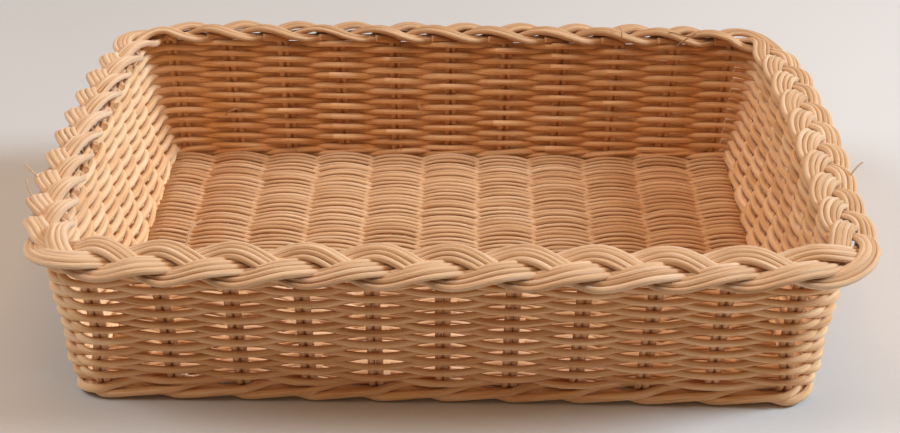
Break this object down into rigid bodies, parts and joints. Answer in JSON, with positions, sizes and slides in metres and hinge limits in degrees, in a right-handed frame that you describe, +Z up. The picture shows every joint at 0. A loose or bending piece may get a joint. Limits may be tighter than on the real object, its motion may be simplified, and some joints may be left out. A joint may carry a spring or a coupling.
{
  "type": "casserole carrier basket",
  "caption": "Oblong open basket of woven natural reed with splayed sides, rounded corners, a flat woven base and a plaited border round the rim, to hold a casserole dish.",
  "frame": {"origin": "middle of the base, on the plane the basket stands on", "axes": "+X along the length to the right of the picture, +Y to the back, +Z up"},
  "size_m": [0.4176, 0.2976, 0.0908],
  "materials": {
    "base_reed": "matte",
    "stake_reed": "matte",
    "weaver_reed": "matte",
    "plait_reed": "matte"
  },
  "bodies": {
    "root": {"base_weave": "base_reed", "long_stake_01": "stake_reed", "long_stake_02": "stake_reed", "long_stake_03": "stake_reed", "long_stake_04": "stake_reed", "long_stake_05": "stake_reed", "long_stake_06": "stake_reed", "long_stake_07": "stake_reed", "long_stake_08": "stake_reed", "long_stake_09": "stake_reed", "long_stake_10": "stake_reed", "long_stake_11": "stake_reed", "right_stake_01": "stake_reed", "right_stake_02": "stake_reed", "right_stake_03": "stake_reed", "right_stake_04": "stake_reed", "right_stake_05": "stake_reed", "right_stake_06": "stake_reed", "right_stake_07": "stake_reed", "right_stake_08": "stake_reed", "right_stake_09": "stake_reed", "right_stake_10": "stake_reed", "left_stake_01": "stake_reed", "left_stake_02": "stake_reed", "left_stake_03": "stake_reed", "left_stake_04": "stake_reed", "left_stake_05": "stake_reed", "left_stake_06": "stake_reed", "left_stake_07": "stake_reed", "left_stake_08": "stake_reed", "left_stake_09": "stake_reed", "left_stake_10": "stake_reed", "foot_wale_01": "weaver_reed", "foot_wale_02": "weaver_reed", "weaver_row_01": "weaver_reed", "weaver_row_02": "weaver_reed", "weaver_row_03": "weaver_reed", "weaver_row_04": "weaver_reed", "weaver_row_05": "weaver_reed", "weaver_row_06": "weaver_reed", "weaver_row_07": "weaver_reed", "weaver_row_08": "weaver_reed", "weaver_row_09": "weaver_reed", "weaver_row_10": "weaver_reed", "weaver_row_11": "weaver_reed", "weaver_row_12": "weaver_reed", "weaver_row_13": "weaver_reed", "weaver_row_14": "weaver_reed", "weaver_row_15": "weaver_reed", "weaver_row_16": "weaver_reed", "weaver_row_17": "weaver_reed", "weaver_row_18": "weaver_reed", "weaver_row_19": "weaver_reed", "weaver_row_20": "weaver_reed", "plait_strand_01": "plait_reed", "plait_strand_02": "plait_reed", "plait_strand_03": "plait_reed"}
  },
  "joints": []
}
